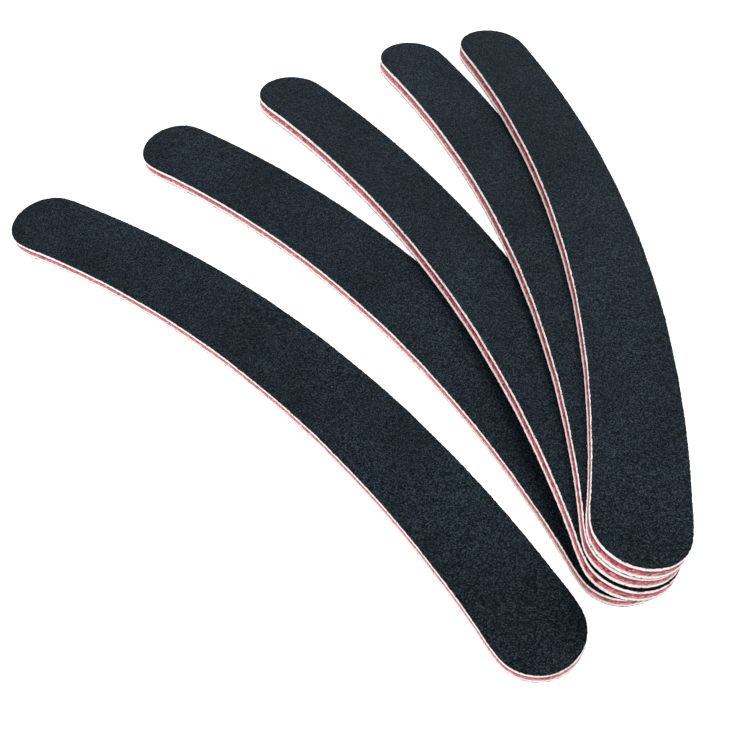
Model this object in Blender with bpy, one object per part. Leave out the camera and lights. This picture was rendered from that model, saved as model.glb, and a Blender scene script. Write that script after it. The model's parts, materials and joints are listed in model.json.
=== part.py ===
"""A salon set of five crescent nail files: one lies alone, four are fanned with their heels stacked.

Units are metres and +Z is up. The set lies on the plane z = 0, and the origin is the middle of
its bounding box on that plane. Every file is the same die-cut laminate, built outwards from a
rigid core: foam tape, backing paper and abrasive coat on both faces. A file is laid down by its
heel position and its bearing, and then leans on whatever lies under it.
"""
import math

import bmesh
import bpy
import numpy as np
from mathutils import Matrix, Vector

MM = 0.001

# One file: a strip bent along an arc, with blunt round ends.
FILE_LENGTH = 178.0 * MM
FILE_WIDTH = 18.35 * MM
BOW_RADIUS = 289.0 * MM
END_LENGTH = 0.97 * FILE_WIDTH / 2
FILE_THICKNESS = 3.5 * MM

# Laminate, from one face inwards. The core takes what is left of the thickness.
GRIT = 0.18 * MM
PAPER = 0.22 * MM
FOAM = 0.50 * MM
GLUE_LINE = 0.02 * MM
CORE = FILE_THICKNESS - 2 * (GRIT + PAPER + FOAM + 3 * GLUE_LINE)

# Fineness of the outline.
SIDE_STEPS = 20
END_STEPS = 12

# Where the files lie: name, heel centre x and y, bearing from heel to tip (degrees from +X),
# and the files underneath it.
CONTACT_GAP = 0.3 * MM
LAYOUT = (
    ("file1", 34.2 * MM, -85.2 * MM, 128.95, ()),
    ("file2", 52.8 * MM, -73.3 * MM, 122.50, ()),
    ("file3", 52.7 * MM, -76.0 * MM, 109.60, ("file2",)),
    ("file4", 53.2 * MM, -75.3 * MM, 97.05, ("file2", "file3")),
    ("file5", 53.7 * MM, -75.4 * MM, 89.05, ("file2", "file3", "file4")),
)

# Laminate from the bottom up: part name, thickness, material.
LAMINATE = (
    ("lower_grit", GRIT, "grit"),
    ("lower_paper", PAPER, "paper"),
    ("lower_foam", FOAM, "foam"),
    ("core", CORE, "core"),
    ("upper_foam", FOAM, "foam"),
    ("upper_paper", PAPER, "paper"),
    ("upper_grit", GRIT, "grit"),
)

# Material: base colour (linear), roughness.
FINISHES = {
    "grit": ((0.016, 0.024, 0.031), 0.85),
    "paper": ((0.80, 0.74, 0.71), 0.80),
    "foam": ((0.80, 0.74, 0.72), 0.70),
    "core": ((0.42, 0.075, 0.10), 0.50),
}


def clear_scene():
    for item in list(bpy.data.objects):
        bpy.data.objects.remove(item, do_unlink=True)


def make_materials():
    """One Principled material for each finish in the laminate."""
    materials = {}
    for name, (colour, roughness) in FINISHES.items():
        material = bpy.data.materials.new(name)
        material.use_nodes = True
        shader = material.node_tree.nodes["Principled BSDF"]
        shader.inputs["Base Color"].default_value = (*colour, 1.0)
        shader.inputs["Roughness"].default_value = roughness
        materials[name] = material
    return materials


def file_outline():
    """Plan of a file, anticlockwise, with the heel's centre at the origin and the tip along +X.

    The strip is bent about a centre on its +Y side, so its bulging edge faces -Y. Each end is
    half an ellipse, END_LENGTH long and as wide as the strip.
    """
    half_turn = math.asin(FILE_LENGTH / 2 / math.hypot(BOW_RADIUS, END_LENGTH))
    half_turn -= math.atan2(END_LENGTH, BOW_RADIUS)
    bow_centre = Vector((math.sin(half_turn), math.cos(half_turn))) * BOW_RADIUS

    def edge(radius, turn):
        return bow_centre + Vector((math.sin(turn), -math.cos(turn))) * radius

    def end(turn, forward):
        """Points strictly between the two corners of the end at this turn along the bow."""
        centre = edge(BOW_RADIUS, turn)
        outward = Vector((math.sin(turn), -math.cos(turn))) * FILE_WIDTH / 2
        along = Vector((math.cos(turn), math.sin(turn))) * END_LENGTH
        steps = [math.pi * i / END_STEPS for i in range(1, END_STEPS)]
        return [centre + (outward * math.cos(s) + along * math.sin(s)) * forward for s in steps]

    turns = [half_turn * (2 * i / SIDE_STEPS - 1) for i in range(SIDE_STEPS + 1)]
    bulging_side = [edge(BOW_RADIUS + FILE_WIDTH / 2, turn) for turn in turns]
    hollow_side = [edge(BOW_RADIUS - FILE_WIDTH / 2, turn) for turn in reversed(turns)]
    return bulging_side + end(half_turn, 1) + hollow_side + end(-half_turn, -1)


def slab_mesh(name, outline, thickness):
    """The outline extruded upwards from z = 0."""
    shape = bmesh.new()
    underside = shape.faces.new([shape.verts.new((x, y, 0.0)) for x, y in outline])
    grown = bmesh.ops.extrude_face_region(shape, geom=[underside], use_keep_orig=True)
    raised = [item for item in grown["geom"] if isinstance(item, bmesh.types.BMVert)]
    bmesh.ops.translate(shape, verts=raised, vec=(0.0, 0.0, thickness))
    bmesh.ops.recalc_face_normals(shape, faces=shape.faces)
    mesh = bpy.data.meshes.new(name)
    shape.to_mesh(mesh)
    shape.free()
    return mesh


def placing(heel, bearing, plane):
    """Matrix that lays a file's underside on the plane z = h + a x + b y."""
    height, rise_x, rise_y = (float(value) for value in plane)
    turn = math.radians(bearing)
    run = Vector((math.cos(turn), math.sin(turn), 0.0))
    run.z = rise_x * run.x + rise_y * run.y
    run.normalize()
    normal = Vector((-rise_x, -rise_y, 1.0)).normalized()
    matrix = Matrix((run, normal.cross(run), normal)).transposed().to_4x4()
    matrix.translation = (heel.x, heel.y, height + rise_x * heel.x + rise_y * heel.y)
    return matrix


def dense_edge(outline, spacing=1.0 * MM):
    """Points along the outline, close enough together to find where two files touch."""
    points = []
    for start, stop in zip(outline, outline[1:] + outline[:1]):
        count = math.ceil((stop - start).length / spacing)
        points += [start.lerp(stop, i / count) for i in range(count)]
    return points


def lifted(points, matrix, height):
    """World places of plan points at this height above a file's underside."""
    return np.array([matrix @ Vector((x, y, height)) for x, y in points])


def within(point, polygon):
    """Whether a point's x and y are inside a polygon, by counting crossings."""
    inside = False
    for start, stop in zip(polygon, np.roll(polygon, -1, axis=0)):
        if (start[1] > point[1]) != (stop[1] > point[1]):
            share = (point[1] - start[1]) / (stop[1] - start[1])
            if point[0] < start[0] + share * (stop[0] - start[0]):
                inside = not inside
    return inside


def centroid(polygon):
    """Centre of area of a flat polygon given as an array of x, y, z."""
    following = np.roll(polygon, -1, axis=0)
    cross = polygon[:, 0] * following[:, 1] - following[:, 0] * polygon[:, 1]
    weighted = (polygon + following)[:, :2] * cross[:, None]
    return weighted.sum(axis=0) / (3 * cross.sum())


def plane_through(carriers):
    """The plane z = h + a x + b y through three points, as (h, a, b)."""
    return np.linalg.solve(np.c_[np.ones(3), carriers[:, :2]], carriers[:, 2])


def surrounds(carriers, centre):
    """Whether the triangle of three points stands around a centre, seen from above."""
    turns = []
    for start, stop in zip(carriers, np.roll(carriers, -1, axis=0)):
        side = stop - start
        reach = centre - start[:2]
        turns.append(side[0] * reach[1] - side[1] * reach[0])
    return min(turns) >= 0 or max(turns) <= 0


def resting_plane(carriers, points, centre):
    """Plane of a rigid file on three carrying points around its centre of gravity.

    While a point reaches above the plane, it takes the place of the one carrier whose loss
    still leaves the centre of gravity inside the triangle.
    """
    reach = 1e-6 * MM
    while True:
        plane = plane_through(carriers)
        excess = points[:, 2] - plane[0] - points[:, :2] @ plane[1:]
        highest = excess.argmax()
        if excess[highest] < reach:
            return plane
        for place in range(3):
            trial = carriers.copy()
            trial[place] = points[highest]
            if surrounds(trial, centre):
                carriers = trial
                break


def lay_down(outline, heel, bearing, lower_files):
    """Matrix of a file that rests on the table and on the files already under it."""
    edge = dense_edge(outline)
    heel_index = min(range(len(edge)), key=lambda i: edge[i].x)
    tip_index = max(range(len(edge)), key=lambda i: edge[i].x)
    belly_index = min(range(len(edge)), key=lambda i: edge[i].y)
    plane = np.zeros(3)
    for _ in range(3):
        matrix = placing(heel, bearing, plane)
        footprint = lifted(outline, matrix, 0.0)
        own = lifted(edge, matrix, 0.0)
        own[:, 2] = 0.0
        points = [own]
        for lower in lower_files:
            top = lifted(edge, lower, FILE_THICKNESS + CONTACT_GAP)
            points.append(np.array([p for p in top if within(p, footprint)]).reshape(-1, 3))
            top_plane = plane_through(top[[heel_index, tip_index, belly_index]])
            above = np.array([p for p in own if within(p, top)]).reshape(-1, 3)
            above[:, 2] = top_plane[0] + above[:, :2] @ top_plane[1:]
            points.append(above)
        first = own[[heel_index, tip_index, belly_index]]
        plane = resting_plane(first, np.concatenate(points), centroid(footprint))
    return placing(heel, bearing, plane)


def make_set():
    materials = make_materials()
    outline = file_outline()
    meshes = {}
    for part, thickness, finish in LAMINATE:
        meshes[part] = slab_mesh(part, outline, thickness)
        meshes[part].materials.append(materials[finish])

    laid = {}
    for name, heel_x, heel_y, bearing, under in LAYOUT:
        lower_files = [laid[other] for other in under]
        laid[name] = lay_down(outline, Vector((heel_x, heel_y)), bearing, lower_files)
        holder = bpy.data.objects.new(name + "_place", None)
        bpy.context.collection.objects.link(holder)
        holder.matrix_world = laid[name]
        height = 0.0
        for part, thickness, _ in LAMINATE:
            layer = bpy.data.objects.new(name + "_" + part, meshes[part])
            bpy.context.collection.objects.link(layer)
            layer.parent = holder
            layer.location.z = height
            height += thickness + GLUE_LINE


clear_scene()
make_set()
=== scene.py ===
# %% [markdown]
# # A set of crescent nail files
#
# Salon nail files are sandwiches. A red polystyrene board gives the file its stiffness, a strip
# of white EVA foam tape on each side lets it follow a nail, and backing paper coated with black
# silicon carbide grit does the filing. The whole sandwich is cut with one die, so every layer
# shows along the edge. This set has five files: one lies alone and four are fanned.
#
# The script makes one layer at a time in a file's own flat frame, then lays it where the CAD
# file lies. It is written as cells, and can be run from top to bottom in Blender.

# %% Load the frame
import json
import math

import bmesh
import bpy
import numpy as np
from mathutils import Matrix, Vector, kdtree
from mathutils.geometry import delaunay_2d_cdt

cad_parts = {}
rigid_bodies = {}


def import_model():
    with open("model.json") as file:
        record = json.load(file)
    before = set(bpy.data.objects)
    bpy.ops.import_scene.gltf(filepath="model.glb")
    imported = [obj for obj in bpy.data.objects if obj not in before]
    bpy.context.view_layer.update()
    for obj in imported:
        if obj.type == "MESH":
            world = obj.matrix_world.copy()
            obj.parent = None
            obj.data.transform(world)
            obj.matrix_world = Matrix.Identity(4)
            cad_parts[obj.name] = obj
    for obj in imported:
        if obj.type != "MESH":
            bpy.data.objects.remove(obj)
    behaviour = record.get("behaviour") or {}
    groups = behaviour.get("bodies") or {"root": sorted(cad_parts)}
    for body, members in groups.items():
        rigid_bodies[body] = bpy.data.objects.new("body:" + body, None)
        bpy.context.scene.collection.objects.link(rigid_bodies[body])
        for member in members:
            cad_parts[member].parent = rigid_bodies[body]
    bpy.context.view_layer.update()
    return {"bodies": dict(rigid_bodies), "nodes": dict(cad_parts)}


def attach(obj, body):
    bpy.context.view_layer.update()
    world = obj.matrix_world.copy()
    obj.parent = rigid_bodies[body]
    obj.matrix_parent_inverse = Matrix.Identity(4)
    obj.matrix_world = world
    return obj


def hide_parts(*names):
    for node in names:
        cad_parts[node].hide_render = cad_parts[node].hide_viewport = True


MM = 0.001
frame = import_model()
files = sorted(frame["bodies"])

# %% [markdown]
# ## The camera, the floor and the light
#
# The camera stands close and looks steeply down, with the fan's stacked heels nearest to it, so
# near ends look wider than far ones. It is turned a little about its own line of sight. The
# place is given by the point it looks at, its distance, its height angle and that turn.

# %% Camera
AIM = Vector((11.31, -20.58, 0.0)) * MM
DISTANCE = 224.75 * MM
LOOK_DOWN = math.radians(52.95)
CAMERA_TURN = math.radians(-7.82)
LENS = 48.31


def make_camera():
    """A camera on the -Y side that looks at AIM."""
    backwards = Vector((0.0, -math.cos(LOOK_DOWN), math.sin(LOOK_DOWN)))
    level = Vector((1.0, 0.0, 0.0))
    upright = backwards.cross(level)
    right = level * math.cos(CAMERA_TURN) + upright * math.sin(CAMERA_TURN)
    axes = Matrix((right, backwards.cross(right), backwards)).transposed().to_4x4()
    camera = bpy.data.objects.new("camera", bpy.data.cameras.new("camera"))
    camera.data.lens = LENS
    camera.data.sensor_width = 36.0
    camera.data.clip_start = 1.0 * MM
    camera.matrix_world = Matrix.Translation(AIM + backwards * DISTANCE) @ axes
    bpy.context.scene.collection.objects.link(camera)
    bpy.context.scene.camera = camera
    return camera


camera = make_camera()
print("camera at", [round(v / MM) for v in camera.location], "mm")

# %% [markdown]
# Node trees need two helpers. One turns a colour written as an sRGB hex value, as painters and
# web pages write it, into the linear numbers that shaders work with. The other adds a node, sets
# its properties, and fills or links its inputs, for shader trees and geometry trees alike.


# %% Helpers for node trees
def linear(hex_colour):
    """Linear red, green, blue and alpha of an sRGB hex colour such as '#C04050'."""
    shares = [int(hex_colour[i : i + 2], 16) / 255 for i in (1, 3, 5)]
    return [s / 12.92 if s <= 0.04045 else ((s + 0.055) / 1.055) ** 2.4 for s in shares] + [1.0]


def add_node(tree, kind, inputs=None, **settings):
    """Add a node. An input given as a socket is linked, and any other value is set."""
    node = tree.nodes.new(kind)
    node.location.x = 200 * len(tree.nodes)
    for name, value in settings.items():
        setattr(node, name, value)
    for key, value in (inputs or {}).items():
        if isinstance(value, bpy.types.NodeSocket):
            tree.links.new(value, node.inputs[key])
        else:
            node.inputs[key].default_value = value
    return node


print("linear value of mid grey:", round(linear("#808080")[0], 3))

# %% [markdown]
# The floor is a pale sheet much larger than the set. The world gives an even white light from
# all round, as a photographer's light tent does. One soft lamp stands high behind the right side,
# so each file shades the file under it along its left edge and below its heel. A weaker lamp
# stands low on the left, as a white card would, and brightens the cut edges but hardly the faces.
# Both lamps leave the floor out, so the set has no shadow on the white sheet. Light linking does
# that: the floor is the one object that the lamps' receivers exclude. The floor has a background
# light of its own instead, which the files neither receive nor block.

# %% Floor and lights
FLOOR_SIZE = 3.0
FLOOR_CLEARANCE = 0.02 * MM
TENT_STRENGTH = 0.85
BACKGROUND_LIGHT = 3.0
# Name, watts, size in metres and place of each soft lamp.
SOFT_LAMPS = (
    ("softbox", 7.3, 0.35, Vector((0.28, 0.30, 0.68))),
    ("white card", 1.8, 0.30, Vector((-0.60, -0.16, 0.11))),
)


def make_floor():
    material = bpy.data.materials.new("matt white background card")
    material.use_nodes = True
    card = material.node_tree.nodes["Principled BSDF"]
    card.inputs["Base Color"].default_value = linear("#F7F7F7")
    card.inputs["Roughness"].default_value = 0.9
    card.inputs["Specular IOR Level"].default_value = 0.1
    mesh = bpy.data.meshes.new("floor")
    half = FLOOR_SIZE / 2
    corners = [(-half, -half, 0), (half, -half, 0), (half, half, 0), (-half, half, 0)]
    mesh.from_pydata(corners, [], [(0, 1, 2, 3)])
    mesh.materials.append(material)
    floor = bpy.data.objects.new("floor", mesh)
    floor.location.z = -FLOOR_CLEARANCE
    bpy.context.scene.collection.objects.link(floor)
    return floor


def make_tent():
    world = bpy.data.worlds.new("light tent")
    world.use_nodes = True
    world.node_tree.nodes["Background"].inputs["Color"].default_value = linear("#FFFFFF")
    world.node_tree.nodes["Background"].inputs["Strength"].default_value = TENT_STRENGTH
    bpy.context.scene.world = world


def make_background_light(floor):
    """A straight-down light that only the floor receives, and that only the floor blocks."""
    lamp = bpy.data.objects.new("background light", bpy.data.lights.new("background", "SUN"))
    lamp.data.energy = BACKGROUND_LIGHT
    bpy.context.scene.collection.objects.link(lamp)
    sheet = bpy.data.collections.new("background sheet")
    sheet.objects.link(floor)
    lamp.light_linking.receiver_collection = sheet
    lamp.light_linking.blocker_collection = sheet


def make_soft_lamp(name, watts, size, place, unlit):
    """A square lamp at a place, aimed at the set, that leaves out what the collection excludes."""
    lamp = bpy.data.objects.new(name, bpy.data.lights.new(name, "AREA"))
    lamp.data.energy = watts
    lamp.data.size = size
    lamp.location = place
    lamp.rotation_mode = "QUATERNION"
    lamp.rotation_quaternion = (-place).to_track_quat("-Z", "Y")
    lamp.light_linking.receiver_collection = unlit
    bpy.context.scene.collection.objects.link(lamp)


floor = make_floor()
make_tent()
make_background_light(floor)
unlit = bpy.data.collections.new("left out by the lamps")
unlit.objects.link(floor)
unlit.collection_objects[0].light_linking.link_state = "EXCLUDE"
for name, watts, size, place in SOFT_LAMPS:
    make_soft_lamp(name, watts, size, place, unlit)
bpy.context.scene.view_settings.view_transform = "Standard"
print("floor", FLOOR_SIZE, "m across, soft lamps:", [lamp[0] for lamp in SOFT_LAMPS])

# %% [markdown]
# ## Where each file lies
#
# The fanned files lean on each other, so each has its own tilted frame. It comes from the rim of
# the file's lowest layer: the rim is symmetric about the middle of the file, so the rim points'
# main directions are the file's length, its width and its face's normal.


# %% A file's own frame
def flat_frame(node):
    """Matrix of a flat crescent: +X from heel to tip, +Y to the hollow side, +Z out of its top."""
    places = np.array([v.co for v in node.data.vertices], float)
    middle = (places.min(axis=0) + places.max(axis=0)) / 2
    length, _, normal = np.linalg.svd(places - places.mean(axis=0), full_matrices=False)[2]
    if length[1] < 0:
        length = -length
    if normal[2] < 0:
        normal = -normal
    width = np.cross(normal, length)
    axes = np.array([length, width, normal])
    local = (places - middle) @ axes.T
    origin = middle + axes.T @ ((local.min(axis=0) + local.max(axis=0)) / 2)
    origin -= normal * (local[:, 2].max() - local[:, 2].min()) / 2
    matrix = Matrix(axes.T.tolist()).to_4x4()
    matrix.translation = Vector(origin)
    return matrix


file_frames = {name: flat_frame(frame["nodes"][name + "_lower_grit"]) for name in files}
for name, matrix in file_frames.items():
    lean = math.degrees(matrix.col[2].to_3d().angle(Vector((0, 0, 1))))
    print(name, "leans by", round(lean, 1), "degrees")


# %% [markdown]
# The layers' heights are read from the CAD layers in that frame. The glue lines between layers
# are closed, because a real laminate has no gap there: each layer reaches up to the next.

# %% Heights and outline of the layers
LAYERS = (
    "lower_grit",
    "lower_paper",
    "lower_foam",
    "core",
    "upper_foam",
    "upper_paper",
    "upper_grit",
)


def heights_in_file(name):
    """Lowest and highest level of each layer above the file's underside."""
    to_file = file_frames[name].inverted()
    levels = {}
    for layer in LAYERS:
        points = [to_file @ v.co for v in frame["nodes"][f"{name}_{layer}"].data.vertices]
        levels[layer] = [min(p.z for p in points), max(p.z for p in points)]
    for lower, upper in zip(LAYERS, LAYERS[1:]):
        levels[lower][1] = levels[upper][0]
    return levels


MERGE_DISTANCE = 0.001 * MM
UNDERSIDE_DEPTH = 0.01 * MM
# The rim's edges turn by a right angle, and those inside a flat face by nothing.
RIM_ANGLE = 1.0


def rim_mesh(name):
    """The edges round the underside of a file, in the file's own frame."""
    shape = bmesh.new()
    shape.from_mesh(frame["nodes"][name + "_lower_grit"].data)
    bmesh.ops.remove_doubles(shape, verts=shape.verts, dist=MERGE_DISTANCE)
    shape.transform(file_frames[name].inverted())
    rim = [
        edge
        for edge in shape.edges
        if all(v.co.z < UNDERSIDE_DEPTH for v in edge.verts)
        and edge.calc_face_angle() > RIM_ANGLE
    ]
    # A dict keeps the order of the edges, so every run numbers the points alike.
    places = {v: i for i, v in enumerate(dict.fromkeys(v for edge in rim for v in edge.verts))}
    mesh = bpy.data.meshes.new("rim")
    points = [(v.co.x, v.co.y, 0.0) for v in places]
    mesh.from_pydata(points, [[places[v] for v in edge.verts] for edge in rim], [])
    shape.free()
    return mesh


levels = heights_in_file(files[0])
rim = rim_mesh(files[0])
for layer, (low, high) in levels.items():
    print(f"{layer:12s} {low / MM:.2f} to {high / MM:.2f} mm")
print("rim points:", len(rim.vertices))

# %% [markdown]
# ## The die-cut layers, grown by Geometry Nodes
#
# Foam, paper and board all follow one rule: the die's outline, pushed up by the layer's
# thickness. So one node tree grows them all. Its first part smooths the rim into a curve, spaces
# points evenly along it, fills it, and extrudes the filled face in several rows, so that the cut
# wall has enough points to be worked on.


# %% The tree's first part: a plain body
def new_tree(name, sizes):
    """A geometry tree with a mesh input, named inputs for its sizes, and a mesh output."""
    tree = bpy.data.node_groups.new(name, "GeometryNodeTree")
    tree.interface.new_socket("Mesh", in_out="INPUT", socket_type="NodeSocketGeometry")
    tree.interface.new_socket("Mesh", in_out="OUTPUT", socket_type="NodeSocketGeometry")
    for size in sizes:
        tree.interface.new_socket(size, in_out="INPUT", socket_type="NodeSocketFloat")
    tree.interface.new_socket("Material", in_out="INPUT", socket_type="NodeSocketMaterial")
    return tree


def maths(tree, operation, *values):
    """The result of a Math node on up to three numbers or sockets."""
    return add_node(tree, "ShaderNodeMath", dict(enumerate(values)), operation=operation).outputs[0]


def filled_rim(tree, given):
    """The rim as a smooth, evenly spaced curve, filled to make the underside."""
    line = add_node(tree, "GeometryNodeMeshToCurve", {"Mesh": given["Mesh"]})
    bow = add_node(
        tree, "GeometryNodeCurveSplineType", {"Curve": line.outputs[0]}, spline_type="BEZIER"
    )
    bow = add_node(
        tree, "GeometryNodeCurveSetHandles", {"Curve": bow.outputs[0]}, handle_type="AUTO"
    )
    even = add_node(
        tree,
        "GeometryNodeResampleCurve",
        {"Curve": bow.outputs[0], "Length": given["Spacing"]},
        mode="LENGTH",
    )
    return add_node(tree, "GeometryNodeFillCurve", {"Curve": even.outputs[0]}, mode="NGONS")


def pushed_up(tree, given, plate, facing):
    """The plate pushed up, one row of wall at a time, and closed below."""
    rows_in = add_node(tree, "GeometryNodeRepeatInput")
    rows_out = add_node(tree, "GeometryNodeRepeatOutput")
    rows_in.pair_with_output(rows_out)
    tree.links.new(given["Rows"], rows_in.inputs["Iterations"])
    tree.links.new(plate.outputs[0], rows_in.inputs["Geometry"])
    upward = add_node(tree, "ShaderNodeSeparateXYZ", {0: facing})
    is_top = add_node(
        tree, "FunctionNodeCompare", {0: upward.outputs["Z"], 1: 0.5}, operation="GREATER_THAN"
    )
    raised = add_node(
        tree,
        "GeometryNodeExtrudeMesh",
        {
            "Mesh": rows_in.outputs["Geometry"],
            "Selection": is_top.outputs[0],
            "Offset": (0.0, 0.0, 1.0),
            "Offset Scale": maths(tree, "DIVIDE", given["Thickness"], given["Rows"]),
            "Individual": False,
        },
        mode="FACES",
    )
    tree.links.new(raised.outputs["Mesh"], rows_out.inputs["Geometry"])
    underside = add_node(tree, "GeometryNodeFlipFaces", {"Mesh": plate.outputs[0]})
    body = add_node(tree, "GeometryNodeJoinGeometry")
    tree.links.new(rows_out.outputs["Geometry"], body.inputs[0])
    tree.links.new(underside.outputs[0], body.inputs[0])
    return add_node(
        tree,
        "GeometryNodeMergeByDistance",
        {"Geometry": body.outputs[0], "Distance": MERGE_DISTANCE},
    )


print("helpers ready for a body of", len(rim.vertices), "rim points")

# %% [markdown]
# The second part works out how far each wall point moves, out or in:
#
# - Proud moves the whole wall, because foam springs back after the cut and paper is dragged.
# - Belly swells the middle of the wall, and Corner pulls its two edges in.
# - Flare leans the wall outwards towards its foot, as a die that comes down from above does.
# - Wander is the die's own unevenness, which all layers share.
# - Ragged is the layer's own rough cut, finer than the wander.
# - Nick cuts small notches where the board crumbled under the die.

# %% The tree's second part: the moves
WANDER_WAVELENGTH = 9.0 * MM
RAGGED_WAVELENGTH = 0.5 * MM
# Noise values at which a nick starts and is at its full depth.
NICK_STARTS, NICK_FULL = 0.60, 0.72


def noise_at(tree, place, seed, scale):
    """Cloudy noise with a seed."""
    return add_node(
        tree,
        "ShaderNodeTexNoise",
        {"Vector": place, "W": seed, "Scale": scale, "Detail": 1.0},
        noise_dimensions="4D",
    ).outputs[0]


def wall_moves(tree, given, place, up):
    """How far out a wall point moves, for its place and its height from -1 to 1."""
    squared = maths(tree, "POWER", up, 2.0)
    quartic = maths(tree, "POWER", squared, 2.0)
    middle = maths(tree, "SUBTRACT", 1.0, squared)
    moves = maths(tree, "MULTIPLY_ADD", middle, given["Belly"], given["Proud"])
    moves = maths(tree, "SUBTRACT", moves, maths(tree, "MULTIPLY", quartic, given["Corner"]))
    moves = maths(tree, "SUBTRACT", moves, maths(tree, "MULTIPLY", up, given["Flare"]))
    for amount, wavelength, seed in (
        (given["Wander"], WANDER_WAVELENGTH, 0.0),
        (given["Ragged"], RAGGED_WAVELENGTH, given["Seed"]),
    ):
        noise = noise_at(tree, place, seed, 1 / wavelength)
        swing = add_node(
            tree,
            "ShaderNodeMapRange",
            {"Value": noise, "From Min": 0.3, "From Max": 0.7, "To Min": -1.0},
        )
        moves = maths(tree, "MULTIPLY_ADD", swing.outputs[0], amount, moves)
    per_metre = maths(tree, "DIVIDE", 1.0, given["Nick Length"])
    crumbs = noise_at(tree, place, given["Seed"], per_metre)
    nick = add_node(
        tree,
        "ShaderNodeMapRange",
        {"Value": crumbs, "From Min": NICK_STARTS, "From Max": NICK_FULL},
    )
    cut = maths(tree, "MULTIPLY", nick.outputs[0], given["Nick Depth"])
    return maths(tree, "SUBTRACT", moves, cut)


print("wander every", WANDER_WAVELENGTH / MM, "mm, ragged every", RAGGED_WAVELENGTH / MM, "mm")

# %% [markdown]
# The last part joins the two. It moves the points along the wall's own outward direction, kept
# level. It also keeps each point's share of the layer's height in an attribute, "level", so that a
# material can paint shade on the line where two layers meet and paint light on the wall's foot.

# %% The whole tree for a layer
LAYER_SIZES = (
    "Thickness",
    "Rows",
    "Spacing",
    "Proud",
    "Belly",
    "Corner",
    "Flare",
    "Wander",
    "Ragged",
    "Nick Depth",
    "Nick Length",
    "Seed",
)


def layer_tree():
    tree = new_tree("Die-cut layer", LAYER_SIZES)
    given = add_node(tree, "NodeGroupInput").outputs
    facing = add_node(tree, "GeometryNodeInputNormal").outputs[0]
    place = add_node(tree, "GeometryNodeInputPosition").outputs[0]
    body = pushed_up(tree, given, filled_rim(tree, given), facing)

    height = add_node(tree, "ShaderNodeSeparateXYZ", {0: place}).outputs["Z"]
    up = add_node(
        tree,
        "ShaderNodeMapRange",
        {"Value": height, "From Max": given["Thickness"], "To Min": -1.0},
        clamp=False,
    )
    moves = wall_moves(tree, given, place, up.outputs[0])
    level = add_node(
        tree, "ShaderNodeVectorMath", {0: facing, 1: (1.0, 1.0, 0.0)}, operation="MULTIPLY"
    )
    outward = add_node(tree, "ShaderNodeVectorMath", {0: level.outputs[0]}, operation="NORMALIZE")
    step = add_node(
        tree, "ShaderNodeVectorMath", {0: outward.outputs[0], "Scale": moves}, operation="SCALE"
    )

    share = add_node(
        tree, "ShaderNodeMapRange", {"Value": height, "From Max": given["Thickness"]}
    )
    marked = add_node(
        tree,
        "GeometryNodeStoreNamedAttribute",
        {"Geometry": body.outputs[0], "Name": "level", "Value": share.outputs[0]},
    )
    worked = add_node(
        tree, "GeometryNodeSetPosition", {"Geometry": marked.outputs[0], "Offset": step.outputs[0]}
    )
    finish_tree(tree, worked, given)
    return tree


def finish_tree(tree, made, given):
    """Make instances real, give the material, and send the result out."""
    real = add_node(tree, "GeometryNodeRealizeInstances", {"Geometry": made.outputs[0]})
    finished = add_node(
        tree,
        "GeometryNodeSetMaterial",
        {"Geometry": real.outputs[0], "Material": given["Material"]},
    )
    add_node(tree, "NodeGroupOutput", {0: finished.outputs[0]})


def grow(tree, mesh, sizes):
    """Run a tree on a mesh with these inputs, and return what it makes as a plain mesh."""
    carrier = bpy.data.objects.new("carrier", mesh)
    bpy.context.scene.collection.objects.link(carrier)
    modifier = carrier.modifiers.new("grow", "NODES")
    modifier.node_group = tree
    for socket in tree.interface.items_tree:
        if socket.in_out == "INPUT" and socket.name in sizes:
            modifier[socket.identifier] = sizes[socket.name]
    graph = bpy.context.evaluated_depsgraph_get()
    grown = bpy.data.meshes.new_from_object(carrier.evaluated_get(graph))
    bpy.data.objects.remove(carrier)
    return grown


die_cut = layer_tree()
print("tree", die_cut.name, "has", len(die_cut.nodes), "nodes")

# %% [markdown]
# ## The materials of the cut edge
#
# All patterns read Object coordinates, which are metres on the real set, so every scale below is
# one over a real length. The first material is the board: red high-impact polystyrene sheet. A
# steel die shears it, which leaves a satin edge with drag lines along it, paler stressed patches
# and dark spots. Its top is painted darker for the shade there, and its foot paler for the light
# there.


# %% The red board's material
def start_material(name):
    """A node material with nothing in it but a Principled shader, and its object coordinates."""
    material = bpy.data.materials.new(name)
    material.use_nodes = True
    tree = material.node_tree
    shader = tree.nodes["Principled BSDF"]
    here = add_node(tree, "ShaderNodeTexCoord").outputs["Object"]
    return material, tree, shader, here


def ramp_node(tree, value, stops):
    """A colour ramp from (position, hex colour) stops, driven by a value socket."""
    ramp = add_node(tree, "ShaderNodeValToRGB", {"Fac": value})
    elements = ramp.color_ramp.elements
    while len(elements) < len(stops):
        elements.new(0.5)
    for element, (position, colour) in zip(elements, stops):
        element.position = position
        element.color = linear(colour)
    return ramp


def add_bump(tree, shader, height, depth):
    """Relief of this depth in metres from a height socket that runs from 0 to 1."""
    bump = add_node(tree, "ShaderNodeBump", {"Height": height, "Distance": depth})
    tree.links.new(bump.outputs["Normal"], shader.inputs["Normal"])


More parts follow.
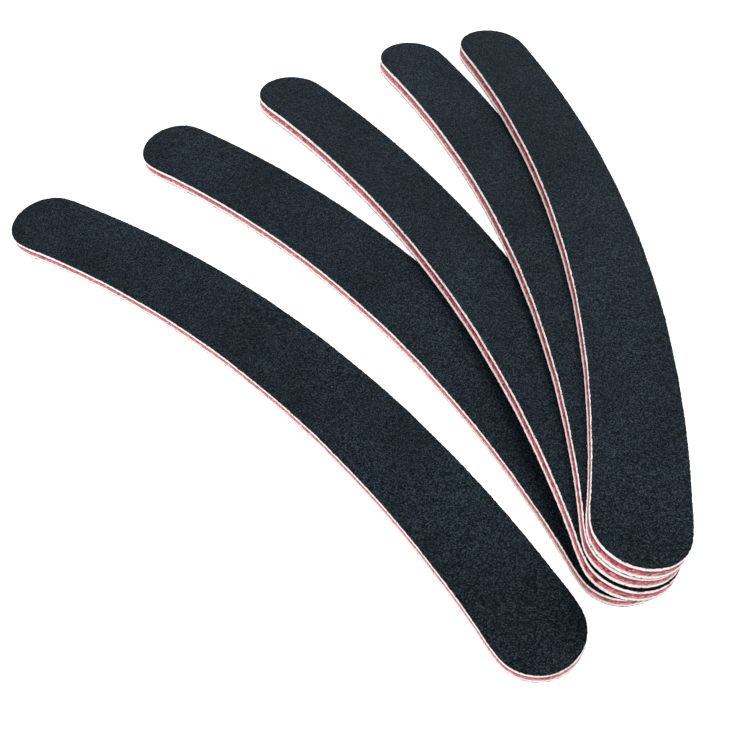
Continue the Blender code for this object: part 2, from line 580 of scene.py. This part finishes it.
def polystyrene_board():
    material, tree, shader, here = start_material("red high-impact polystyrene, die-cut edge")
    # Drag lines run along the edge, and are half as high as long.
    drawn_out = add_node(tree, "ShaderNodeMapping", {"Vector": here, "Scale": (1.0, 1.0, 2.0)})
    drag = add_node(
        tree,
        "ShaderNodeTexNoise",
        {"Vector": drawn_out.outputs[0], "Scale": 1 / (0.7 * MM), "Detail": 4.0, "Roughness": 0.65},
    )
    streaks = add_node(
        tree, "ShaderNodeMapRange", {"Value": drag.outputs[0], "From Min": 0.3, "From Max": 0.7}
    )
    # Painted shade darkens a line near the board's top, unevenly, where the foam above overhangs
    # it, and painted light makes its foot paler, where light from the white floor falls on it.
    level = add_node(tree, "ShaderNodeAttribute", attribute_name="level").outputs["Fac"]
    painted_light_and_shade_by_height = ramp_node(
        tree, level, [(0.0, "#D4D4D4"), (0.45, "#B8B8B8"), (0.72, "#808080"), (1.0, "#404040")]
    )
    blotches = add_node(
        tree,
        "ShaderNodeTexNoise",
        {"Vector": here, "Scale": 1 / (1.1 * MM), "Detail": 4.0, "Roughness": 0.6},
    )
    weighed = add_node(
        tree,
        "ShaderNodeMix",
        {0: 0.35, 6: painted_light_and_shade_by_height.outputs["Color"], 7: blotches.outputs[0]},
        data_type="RGBA",
    )
    shade = maths(tree, "MULTIPLY_ADD", streaks.outputs[0], 0.8, weighed.outputs[2])
    red = ramp_node(
        tree,
        shade,
        [
            (0.40, "#24080D"),
            (0.58, "#5E1722"),
            (0.78, "#8E2836"),
            (0.92, "#AE404D"),
            (1.0, "#D4868C"),
        ],
    )
    # Sparse dark spots, 0.5 mm and smaller, multiplied into the red.
    spots = add_node(
        tree,
        "ShaderNodeTexNoise",
        {"Vector": drawn_out.outputs[0], "W": 7.0, "Scale": 1 / (1.3 * MM), "Detail": 3.0},
        noise_dimensions="4D",
    )
    dark_spot_colour = ramp_node(tree, spots.outputs[0], [(0.35, "#6A4A50"), (0.42, "#FFFFFF")])
    spotted = add_node(
        tree,
        "ShaderNodeMix",
        {0: 1.0, 6: red.outputs["Color"], 7: dark_spot_colour.outputs["Color"]},
        data_type="RGBA",
        blend_type="MULTIPLY",
    )
    tree.links.new(spotted.outputs[2], shader.inputs["Base Color"])
    shader.inputs["Roughness"].default_value = 0.5
    shader.inputs["IOR"].default_value = 1.59
    shader.inputs["Specular IOR Level"].default_value = 0.35
    add_bump(tree, shader, drag.outputs[0], 0.08 * MM)
    return material


board_material = polystyrene_board()
print("made", board_material.name)

# %% [markdown]
# The foam tape is closed-cell EVA. Its cells are about a fifth of a millimetre across, and the
# die opens them, so the cut wall is white with small shaded pits. The backing paper above it is
# soaked with latex and stays a dense warm white, with grey smears where grit was dragged over
# its edge.


# %% The foam's and the paper's materials
def eva_foam():
    material, tree, shader, here = start_material("white closed-cell EVA foam tape")
    cells = add_node(tree, "ShaderNodeTexVoronoi", {"Vector": here, "Scale": 1 / (0.22 * MM)})
    # The pits' shade is painted into the colour: each cell is darker towards its middle.
    white = ramp_node(
        tree,
        cells.outputs["Distance"],
        [(0.0, "#B79B99"), (0.30, "#E6D7D3"), (0.7, "#F4EBE7")],
    )
    tree.links.new(white.outputs["Color"], shader.inputs["Base Color"])
    shader.inputs["Roughness"].default_value = 0.75
    shader.inputs["Specular IOR Level"].default_value = 0.3
    add_bump(tree, shader, cells.outputs["Distance"], 0.06 * MM)
    return material


def backing_paper():
    material, tree, shader, here = start_material("latex-saturated backing paper")
    smears = add_node(
        tree,
        "ShaderNodeTexNoise",
        {"Vector": here, "Scale": 1 / (0.8 * MM), "Detail": 5.0, "Roughness": 0.7},
    )
    white = ramp_node(
        tree,
        smears.outputs[0],
        [(0.37, "#4A4544"), (0.44, "#D6CBC5"), (0.54, "#F7EEE9")],
    )
    tree.links.new(white.outputs["Color"], shader.inputs["Base Color"])
    shader.inputs["Roughness"].default_value = 0.85
    shader.inputs["Specular IOR Level"].default_value = 0.25
    fibres = add_node(
        tree, "ShaderNodeTexNoise", {"Vector": here, "Scale": 1 / (0.12 * MM), "Detail": 2.0}
    )
    add_bump(tree, shader, fibres.outputs[0], 0.03 * MM)
    return material


foam_material = eva_foam()
paper_material = backing_paper()
print("made", foam_material.name, "and", paper_material.name)

# %% [markdown]
# ## The grit
#
# The working faces are silicon carbide grit, about 0.15 mm across, set in a black resin. Its
# crystals are nearly black and glassy, so the face is dark and dull with a faint cold sparkle.
# The relief is real geometry, made below. The material adds what is finer: each grain its own
# shade, a few bright crystal faces, slow patches where the resin lies thicker, and a fine bump.


# %% The grit coat's material
def silicon_carbide_coat():
    material, tree, shader, here = start_material("black silicon carbide grit coat")
    grains = add_node(tree, "ShaderNodeTexVoronoi", {"Vector": here, "Scale": 1 / (0.20 * MM)})
    shade = add_node(tree, "ShaderNodeSeparateColor", {"Color": grains.outputs["Color"]})
    grain_colour = ramp_node(
        tree,
        shade.outputs[0],
        [(0.15, "#020508"), (0.5, "#0B141A"), (0.85, "#222E35"), (1.0, "#2E3A42")],
    )
    patches = add_node(
        tree, "ShaderNodeTexNoise", {"Vector": here, "Scale": 1 / (22.0 * MM), "Detail": 3.0}
    )
    resin = ramp_node(tree, patches.outputs[0], [(0.3, "#D2D2D2"), (0.7, "#FFFFFF")])
    colour = add_node(
        tree,
        "ShaderNodeMix",
        {0: 1.0, 6: grain_colour.outputs["Color"], 7: resin.outputs["Color"]},
        data_type="RGBA",
        blend_type="MULTIPLY",
    )
    tree.links.new(colour.outputs[2], shader.inputs["Base Color"])
    dullness = add_node(
        tree,
        "ShaderNodeMapRange",
        {"Value": shade.outputs[1], "From Min": 0.85, "To Min": 0.90, "To Max": 0.60},
    )
    tree.links.new(dullness.outputs[0], shader.inputs["Roughness"])
    shader.inputs["Specular IOR Level"].default_value = 0.08
    fine = add_node(
        tree, "ShaderNodeTexNoise", {"Vector": here, "Scale": 1 / (0.15 * MM), "Detail": 2.0}
    )
    add_bump(tree, shader, fine.outputs[0], 0.05 * MM)
    return material


grit_material = silicon_carbide_coat()
print("made", grit_material.name)

# %% [markdown]
# ## Growing the layers
#
# Each layer's recipe is a set of inputs for the tree, in real sizes. The board is stiff and
# crumbles, so it has nicks. The foam springs back and swells between its skins. The paper is
# thin, and its edge is ragged.

# %% Recipes and layers
RIM_SPACING = 0.28 * MM
DIE_WANDER = 0.05 * MM
RECIPES = {
    "core": {
        "Rows": 6.0,
        "Proud": -0.02 * MM,
        "Belly": 0.02 * MM,
        "Corner": 0.03 * MM,
        "Flare": 0.04 * MM,
        "Ragged": 0.04 * MM,
        "Nick Depth": 0.20 * MM,
        "Nick Length": 0.7 * MM,
    },
    "foam": {
        "Rows": 4.0,
        "Proud": 0.02 * MM,
        "Belly": 0.05 * MM,
        "Corner": 0.03 * MM,
        "Flare": 0.0,
        "Ragged": 0.055 * MM,
        "Nick Depth": 0.08 * MM,
        "Nick Length": 0.5 * MM,
    },
    "paper": {
        "Rows": 2.0,
        "Proud": 0.03 * MM,
        "Belly": 0.02 * MM,
        "Corner": 0.02 * MM,
        "Flare": 0.0,
        "Ragged": 0.055 * MM,
        "Nick Depth": 0.08 * MM,
        "Nick Length": 0.5 * MM,
    },
}
MATERIALS = {
    "core": board_material,
    "foam": foam_material,
    "paper": paper_material,
    "grit": grit_material,
}
NAMES = {"core": "red_board", "foam": "foam_tape", "paper": "backing", "grit": "grit_coat"}


def stuff_of(layer):
    """What a layer is made of: the last word of its CAD name, such as foam in upper_foam."""
    return layer.split("_")[-1]


def piece_name(file_name, layer):
    side = layer.split("_")[0] + "_" if "_" in layer else ""
    return f"{file_name}_{side}{NAMES[stuff_of(layer)]}"


def grow_layer(layer, seed):
    """A layer as a mesh in the file's frame, with its underside at zero height."""
    low, high = levels[layer]
    sizes = dict(RECIPES[stuff_of(layer)])
    sizes["Thickness"] = high - low
    sizes["Spacing"] = RIM_SPACING
    sizes["Wander"] = DIE_WANDER
    sizes["Seed"] = seed
    sizes["Material"] = MATERIALS[stuff_of(layer)]
    return grow(die_cut, rim, sizes)


def lay(mesh, file_name, layer, height):
    """Put a mesh from the file's frame where the file lies, as a finished piece."""
    mesh.transform(file_frames[file_name] @ Matrix.Translation((0.0, 0.0, height)))
    piece = bpy.data.objects.new(piece_name(file_name, layer), mesh)
    bpy.context.scene.collection.objects.link(piece)
    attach(piece, file_name)
    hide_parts(f"{file_name}_{layer}")
    return piece


SMOOTH_BELOW = math.radians(35)
backings = {}
for number, file_name in enumerate(files):
    for place, layer in enumerate(LAYERS):
        if stuff_of(layer) == "grit":
            continue
        mesh = grow_layer(layer, seed=10.0 * number + place)
        mesh.shade_smooth()
        mesh.set_sharp_from_angle(angle=SMOOTH_BELOW)
        if stuff_of(layer) == "paper":
            backings[file_name, layer] = mesh.copy()
        piece = lay(mesh, file_name, layer, levels[layer][0])
    print(file_name, "layers grown, last one has", len(mesh.polygons), "faces")

# %% [markdown]
# ## The grit coat as geometry
#
# A tree could scatter loose grains on a face, but a real coat is one skin: the grains stand in
# resin, so the surface rises and falls from grain to grain without gaps. It is made as a net of
# triangles with a corner for each grain. Corners are laid on a triangular grid, shaken so that no
# rows show, joined by Delaunay triangulation inside the paper's outline, and dropped by random
# depths. Real grains are 0.15 mm apart. Here they are 0.28 mm apart, as coarse as they need to be
# to show. The upper coat stops just short of the paper's edge, where the die crumbled it. The
# lower coat was cut last and reaches the paper's edge, so it shows as a thin dark line.

# %% The grit coats
GRAIN = 0.28 * MM
GRAIN_SHAKE = 0.35
RIM_CLEARANCE = 0.6
DROP_POWER = 1.5
GRAIN_DROP = 0.07 * MM
SETBACK = {"upper": 0.05 * MM, "lower": 0.0}
RIM_SHAKE = {"upper": 0.05 * MM, "lower": 0.02 * MM}
RIM_DROP = {"upper": 0.04 * MM, "lower": 0.01 * MM}


def top_outline(mesh):
    """Corner places of the mesh's face with the most corners that looks up."""
    faces = [face for face in mesh.polygons if face.normal.z > 0.5]
    largest = max(faces, key=lambda face: face.loop_total)
    return np.array([mesh.vertices[i].co.xy for i in largest.vertices])


def set_back(outline, distance):
    """The outline moved inwards. It runs anticlockwise, so inwards is to the left."""
    along = np.roll(outline, -1, axis=0) - np.roll(outline, 1, axis=0)
    along /= np.linalg.norm(along, axis=1, keepdims=True)
    inwards = np.stack((-along[:, 1], along[:, 0]), axis=1)
    return outline + inwards * distance


def shaken_grid(outline, rng):
    """Grain places over the outline's box, none too close to the outline itself."""
    low, high = outline.min(axis=0), outline.max(axis=0)
    row_height = GRAIN * math.sqrt(3) / 2
    rows = int((high[1] - low[1]) / row_height) + 1
    columns = int((high[0] - low[0]) / GRAIN) + 1
    row, column = np.mgrid[0:rows, 0:columns]
    x = low[0] + (column + 0.5 * (row % 2)) * GRAIN
    y = low[1] + row * row_height
    grains = np.stack((x.ravel(), y.ravel()), axis=1)
    grains += rng.uniform(-GRAIN_SHAKE, GRAIN_SHAKE, grains.shape) * GRAIN
    near_rim = kdtree.KDTree(len(outline))
    for i, point in enumerate(outline):
        near_rim.insert((*point, 0.0), i)
    near_rim.balance()
    return [p for p in grains if near_rim.find((*p, 0.0))[2] > RIM_CLEARANCE * GRAIN]


def coat_mesh(outline, thickness, side, seed):
    """A closed slab on the outline whose top is a rough net of grains."""
    rng = np.random.default_rng(seed)
    rim_count = len(outline)
    ragged = set_back(outline, SETBACK[side])
    ragged += rng.uniform(-1.0, 1.0, ragged.shape) * RIM_SHAKE[side]
    points = [Vector(p) for p in ragged] + [Vector(p) for p in shaken_grid(ragged, rng)]
    ring = [(i, (i + 1) % rim_count) for i in range(rim_count)]
    corners, _, triangles, *_ = delaunay_2d_cdt(points, ring, [], 1, 1e-9)
    used = sorted({i for triangle in triangles for i in triangle})
    new_number = {old: new for new, old in enumerate(used)}
    corners = [corners[i] for i in used]
    triangles = [tuple(new_number[i] for i in triangle) for triangle in triangles]
    drop = GRAIN_DROP * rng.random(len(corners)) ** DROP_POWER
    drop[:rim_count] = RIM_DROP[side]
    top = [(c.x, c.y, thickness - d) for c, d in zip(corners, drop)]
    foot = [(c.x, c.y, 0.0) for c in corners[:rim_count]]
    wall = [(i + len(top), j + len(top), j, i) for i, j in ring]
    underside = [tuple(range(len(top) + rim_count - 1, len(top) - 1, -1))]
    mesh = bpy.data.meshes.new("coat")
    mesh.from_pydata(top + foot, [], triangles + wall + underside)
    mesh.materials.append(grit_material)
    return mesh


for number, file_name in enumerate(files):
    for layer in ("lower_grit", "upper_grit"):
        side = layer.split("_")[0]
        low, high = levels[layer]
        outline = top_outline(backings[file_name, side + "_paper"])
        mesh = coat_mesh(outline, high - low, side, seed=100 * number + LAYERS.index(layer))
        if side == "lower":
            mesh.transform(Matrix.Translation((0, 0, high - low)) @ Matrix.Scale(-1, 4, (0, 0, 1)))
            mesh.flip_normals()
        lay(mesh, file_name, layer, low)
    print(file_name, "coats have", len(mesh.polygons), "faces each")

# %% [markdown]
# ## Fuzz on the paper's edge
#
# The die tears some paper fibres instead of cutting them, and they stand out of the edge as
# short hairs. They repeat along a surface, so Geometry Nodes scatter them: points on the paper's
# walls, a bent hair of three sides on each, turned at random about the wall's normal.


# %% The tree for fuzz
def fuzz_tree():
    tree = new_tree("Paper fuzz", ("Density", "Hair Length", "Hair Width", "Seed"))
    given = add_node(tree, "NodeGroupInput").outputs
    facing = add_node(tree, "GeometryNodeInputNormal")
    upward = add_node(tree, "ShaderNodeSeparateXYZ", {0: facing.outputs[0]})
    steep = add_node(tree, "ShaderNodeMath", {0: upward.outputs["Z"]}, operation="ABSOLUTE")
    on_wall = add_node(
        tree, "FunctionNodeCompare", {0: steep.outputs[0], 1: 0.5}, operation="LESS_THAN"
    )
    roots = add_node(
        tree,
        "GeometryNodeDistributePointsOnFaces",
        {
            "Mesh": given["Mesh"],
            "Selection": on_wall.outputs[0],
            "Density": given["Density"],
            "Seed": given["Seed"],
        },
    )
    middle = add_node(
        tree, "ShaderNodeCombineXYZ", {"X": given["Hair Width"], "Z": given["Hair Length"]}
    )
    end = add_node(
        tree, "ShaderNodeCombineXYZ", {"X": given["Hair Length"], "Z": given["Hair Length"]}
    )
    bend = add_node(
        tree,
        "GeometryNodeCurveQuadraticBezier",
        {
            "Resolution": 3,
            "Start": (0.0, 0.0, 0.0),
            "Middle": middle.outputs[0],
            "End": end.outputs[0],
        },
    )
    section = add_node(
        tree, "GeometryNodeCurvePrimitiveCircle", {"Resolution": 3, "Radius": given["Hair Width"]}
    )
    hair = add_node(
        tree,
        "GeometryNodeCurveToMesh",
        {"Curve": bend.outputs[0], "Profile Curve": section.outputs[0], "Fill Caps": True},
    )
    turn = add_node(
        tree,
        "FunctionNodeRandomValue",
        {0: (-0.5, -0.5, 0.0), 1: (0.5, 0.5, 2 * math.pi), "Seed": given["Seed"]},
        data_type="FLOAT_VECTOR",
    )
    turned = add_node(
        tree,
        "FunctionNodeRotateRotation",
        {"Rotation": roots.outputs["Rotation"], "Rotate By": turn.outputs[0]},
        rotation_space="LOCAL",
    )
    length = add_node(
        tree, "FunctionNodeRandomValue", {2: 0.3, 3: 1.0, "Seed": given["Seed"]}, data_type="FLOAT"
    )
    hairs = add_node(
        tree,
        "GeometryNodeInstanceOnPoints",
        {
            "Points": roots.outputs["Points"],
            "Instance": hair.outputs[0],
            "Rotation": turned.outputs[0],
            "Scale": length.outputs[1],
        },
    )
    finish_tree(tree, hairs, given)
    return tree


FUZZ = {"Density": 1.6e6, "Hair Length": 0.22 * MM, "Hair Width": 0.025 * MM}
fuzz = fuzz_tree()
for number, file_name in enumerate(files):
    for layer in ("lower_paper", "upper_paper"):
        sizes = {**FUZZ, "Seed": float(number), "Material": paper_material}
        mesh = grow(fuzz, backings[file_name, layer], sizes)
        mesh.transform(file_frames[file_name] @ Matrix.Translation((0, 0, levels[layer][0])))
        piece = bpy.data.objects.new(piece_name(file_name, layer) + "_fuzz", mesh)
        bpy.context.scene.collection.objects.link(piece)
        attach(piece, file_name)
    print(file_name, "fuzz has", len(mesh.polygons), "faces")
